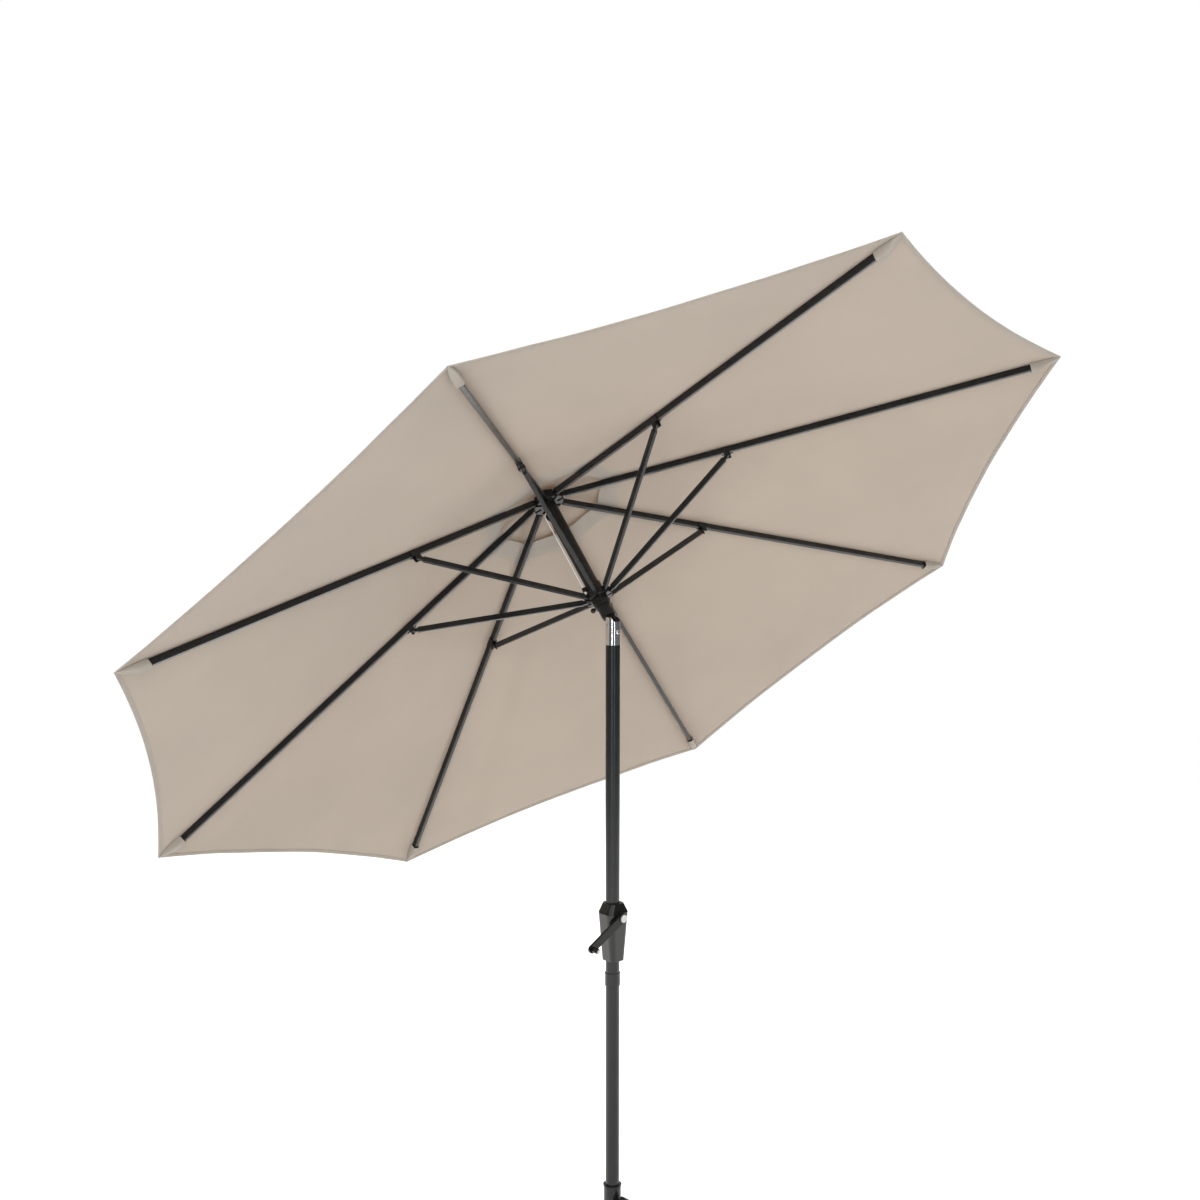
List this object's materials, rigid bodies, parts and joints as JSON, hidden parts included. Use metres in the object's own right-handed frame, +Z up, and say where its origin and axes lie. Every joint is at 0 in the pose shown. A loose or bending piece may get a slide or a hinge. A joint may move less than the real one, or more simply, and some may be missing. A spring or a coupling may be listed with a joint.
{
  "type": "patio umbrella with base",
  "caption": "Crank-up market parasol on a round weighted base, canopy open and tilted on a push-button joint, with ribs, struts, runner and vent cap.",
  "frame": {"origin": "middle of the flat underside of the base, on the floor, under the pole", "axes": "+Z up; the crank and the tilt button face -Y; the canopy leans towards +Y"},
  "size_m": [2.7172, 2.0198, 2.8738],
  "materials": {
    "weight": "cast concrete",
    "black_steel": "semi-gloss powder coat",
    "black_plastic": "fine grain",
    "gloss_black": "polished",
    "chrome": "polished",
    "zinc_steel": "zinc plated",
    "rubber": "matt",
    "canopy": "woven, fine",
    "cord": "braided"
  },
  "bodies": {
    "base": {"base_pad": "rubber", "base_weight": "weight", "base_cover": "black_steel", "socket_tube": "black_steel", "flange_bolts": "zinc_steel", "reducer_sleeve": "black_plastic"},
    "clamp": {"clamp_knob": "black_plastic"},
    "pole": {"lower_pole": "black_steel", "pole_joint": "black_steel", "upper_pole": "black_steel", "crank_housing_front": "gloss_black", "crank_housing_back": "gloss_black", "housing_screws": "zinc_steel", "tilt_housing": "chrome", "tilt_pins": "zinc_steel", "return_springs": "zinc_steel", "cord_in_pole": "cord"},
    "snap": {"snap_button": "chrome"},
    "crank": {"crank_axle": "chrome", "cord_drum": "black_plastic", "crank_arm": "black_plastic"},
    "crank_grip": {"crank_knob": "black_plastic"},
    "tilt_catch": {"tilt_button": "chrome"},
    "mast": {"tilt_knuckle": "black_plastic", "mast_tube": "black_steel", "hub": "black_plastic", "mast_pins": "zinc_steel", "mast_cap": "black_plastic", "finial": "black_plastic", "vent_cap": "canopy", "cord_in_mast": "cord"},
    "pulley_wheel": {"pulley": "black_plastic"},
    "runner_ring": {"runner": "black_plastic", "runner_pins": "zinc_steel", "runner_knob": "black_plastic", "cord_outside": "cord"},
    "rib_arm_1": {"rib_1": "black_steel", "canopy_gore_1": "canopy"},
    "strut_arm_1": {"strut_1": "black_steel"},
    "rib_arm_2": {"rib_2": "black_steel", "canopy_gore_2": "canopy"},
    "strut_arm_2": {"strut_2": "black_steel"},
    "rib_arm_3": {"rib_3": "black_steel", "canopy_gore_3": "canopy"},
    "strut_arm_3": {"strut_3": "black_steel"},
    "rib_arm_4": {"rib_4": "black_steel", "canopy_gore_4": "canopy"},
    "strut_arm_4": {"strut_4": "black_steel"},
    "rib_arm_5": {"rib_5": "black_steel", "canopy_gore_5": "canopy"},
    "strut_arm_5": {"strut_5": "black_steel"},
    "rib_arm_6": {"rib_6": "black_steel", "canopy_gore_6": "canopy"},
    "strut_arm_6": {"strut_6": "black_steel"},
    "rib_arm_7": {"rib_7": "black_steel", "canopy_gore_7": "canopy"},
    "strut_arm_7": {"strut_7": "black_steel"},
    "rib_arm_8": {"rib_8": "black_steel", "canopy_gore_8": "canopy"},
    "strut_arm_8": {"strut_8": "black_steel"}
  },
  "joints": [
    {"name": "pole_swivel", "type": "hinge", "parent": "base", "child": "pole", "pos_m": [0, 0, 0.2], "axis": [0, 0, 1], "continuous": true},
    {"name": "clamp_turn", "type": "hinge", "parent": "base", "child": "clamp", "pos_m": [0, 0, 0.335], "axis": [0, -1, 0], "continuous": true},
    {"name": "snap_press", "type": "slide", "parent": "pole", "child": "snap", "axis": [0, -1, 0], "range_m": [0, 0.003], "stiffness_N_per_m": 600, "springref_m": -0.001},
    {"name": "crank_turn", "type": "hinge", "parent": "pole", "child": "crank", "pos_m": [0, 0, 1.142], "axis": [0, -1, 0], "range_deg": [-1, 127.47]},
    {"name": "crank_knob_spin", "type": "hinge", "parent": "crank", "child": "crank_grip", "pos_m": [-0.10457, -0.06, 1.07916], "axis": [0, 1, 0], "continuous": true},
    {"name": "tilt_button_press", "type": "slide", "parent": "pole", "child": "tilt_catch", "axis": [0, 1, 0], "range_m": [0, 0.003], "stiffness_N_per_m": 800, "springref_m": -0.001},
    {"name": "canopy_tilt", "type": "hinge", "parent": "pole", "child": "mast", "pos_m": [0, 0, 1.93], "axis": [1, 0, 0], "range_deg": [0, 42]},
    {"name": "pulley_spin", "type": "hinge", "parent": "mast", "child": "pulley_wheel", "pos_m": [-0.01247, 0.24607, 2.19556], "axis": [-0.3827, -0.6866, 0.6182], "range_deg": [-1, 127.47]},
    {"name": "runner_slide", "type": "slide", "parent": "mast", "child": "runner_ring", "axis": [0, -0.6691, -0.7431], "range_m": [0, 0.03]},
    {"name": "rib_fold_1", "type": "hinge", "parent": "mast", "child": "rib_arm_1", "pos_m": [-0.00092, 0.24834, 2.2581], "axis": [0.9997, -0.0195, 0.0175], "range_deg": [-0.1, 2.21]},
    {"name": "strut_fold_1", "type": "hinge", "parent": "runner_ring", "child": "strut_arm_1", "pos_m": [-0.00078, 0.03593, 2.01472], "axis": [0.9997, -0.0195, 0.0175], "range_deg": [-1.81, 0.1]},
    {"name": "rib_fold_2", "type": "hinge", "parent": "mast", "child": "rib_arm_2", "pos_m": [0.02409, 0.25548, 2.25168], "axis": [0.7254, 0.5115, -0.4606], "range_deg": [-0.1, 2.21]},
    {"name": "strut_fold_2", "type": "hinge", "parent": "runner_ring", "child": "strut_arm_2", "pos_m": [0.02065, 0.04204, 2.00922], "axis": [0.7254, 0.5115, -0.4606], "range_deg": [-1.81, 0.1]},
    {"name": "rib_fold_3", "type": "hinge", "parent": "mast", "child": "rib_arm_3", "pos_m": [0.03499, 0.27366, 2.2353], "axis": [0.0262, 0.7429, -0.6689], "range_deg": [-0.1, 2.21]},
    {"name": "strut_fold_3", "type": "hinge", "parent": "runner_ring", "child": "strut_arm_3", "pos_m": [0.02999, 0.05763, 1.99518], "axis": [0.0262, 0.7429, -0.6689], "range_deg": [-1.81, 0.1]},
    {"name": "rib_fold_4", "type": "hinge", "parent": "mast", "child": "rib_arm_4", "pos_m": [0.02539, 0.29225, 2.21857], "axis": [-0.6884, 0.5391, -0.4854], "range_deg": [-0.1, 2.21]},
    {"name": "strut_fold_4", "type": "hinge", "parent": "runner_ring", "child": "strut_arm_4", "pos_m": [0.02176, 0.07356, 1.98084], "axis": [-0.6884, 0.5391, -0.4854], "range_deg": [-1.81, 0.1]},
    {"name": "rib_fold_5", "type": "hinge", "parent": "mast", "child": "rib_arm_5", "pos_m": [0.00092, 0.30034, 2.21128], "axis": [-0.9997, 0.0195, -0.0175], "range_deg": [-0.1, 2.21]},
    {"name": "strut_fold_5", "type": "hinge", "parent": "runner_ring", "child": "strut_arm_5", "pos_m": [0.00078, 0.0805, 1.97459], "axis": [-0.9997, 0.0195, -0.0175], "range_deg": [-1.81, 0.1]},
    {"name": "rib_fold_6", "type": "hinge", "parent": "mast", "child": "rib_arm_6", "pos_m": [-0.02409, 0.29321, 2.2177], "axis": [-0.7254, -0.5115, 0.4606], "range_deg": [-0.1, 2.21]},
    {"name": "strut_fold_6", "type": "hinge", "parent": "runner_ring", "child": "strut_arm_6", "pos_m": [-0.02065, 0.07439, 1.98009], "axis": [-0.7254, -0.5115, 0.4606], "range_deg": [-1.81, 0.1]},
    {"name": "rib_fold_7", "type": "hinge", "parent": "mast", "child": "rib_arm_7", "pos_m": [-0.03499, 0.27502, 2.23408], "axis": [-0.0262, -0.7429, 0.6689], "range_deg": [-0.1, 2.21]},
    {"name": "strut_fold_7", "type": "hinge", "parent": "runner_ring", "child": "strut_arm_7", "pos_m": [-0.02999, 0.0588, 1.99413], "axis": [-0.0262, -0.7429, 0.6689], "range_deg": [-1.81, 0.1]},
    {"name": "rib_fold_8", "type": "hinge", "parent": "mast", "child": "rib_arm_8", "pos_m": [-0.02539, 0.25644, 2.25081], "axis": [0.6884, -0.5391, 0.4854], "range_deg": [-0.1, 2.21]},
    {"name": "strut_fold_8", "type": "hinge", "parent": "runner_ring", "child": "strut_arm_8", "pos_m": [-0.02176, 0.04287, 2.00847], "axis": [0.6884, -0.5391, 0.4854], "range_deg": [-1.81, 0.1]}
  ],
  "couplings": [
    {"joint": "crank_turn", "follows": "runner_slide", "rad_per_m": 72.993},
    {"joint": "pulley_spin", "follows": "runner_slide", "rad_per_m": 71.429},
    {"joint": "rib_fold_1", "follows": "runner_slide", "rad_per_m": 1.2283},
    {"joint": "strut_fold_1", "follows": "runner_slide", "rad_per_m": -1.0021},
    {"joint": "rib_fold_2", "follows": "runner_slide", "rad_per_m": 1.2283},
    {"joint": "strut_fold_2", "follows": "runner_slide", "rad_per_m": -1.0021},
    {"joint": "rib_fold_3", "follows": "runner_slide", "rad_per_m": 1.2283},
    {"joint": "strut_fold_3", "follows": "runner_slide", "rad_per_m": -1.0021},
    {"joint": "rib_fold_4", "follows": "runner_slide", "rad_per_m": 1.2283},
    {"joint": "strut_fold_4", "follows": "runner_slide", "rad_per_m": -1.0021},
    {"joint": "rib_fold_5", "follows": "runner_slide", "rad_per_m": 1.2283},
    {"joint": "strut_fold_5", "follows": "runner_slide", "rad_per_m": -1.0021},
    {"joint": "rib_fold_6", "follows": "runner_slide", "rad_per_m": 1.2283},
    {"joint": "strut_fold_6", "follows": "runner_slide", "rad_per_m": -1.0021},
    {"joint": "rib_fold_7", "follows": "runner_slide", "rad_per_m": 1.2283},
    {"joint": "strut_fold_7", "follows": "runner_slide", "rad_per_m": -1.0021},
    {"joint": "rib_fold_8", "follows": "runner_slide", "rad_per_m": 1.2283},
    {"joint": "strut_fold_8", "follows": "runner_slide", "rad_per_m": -1.0021}
  ]
}
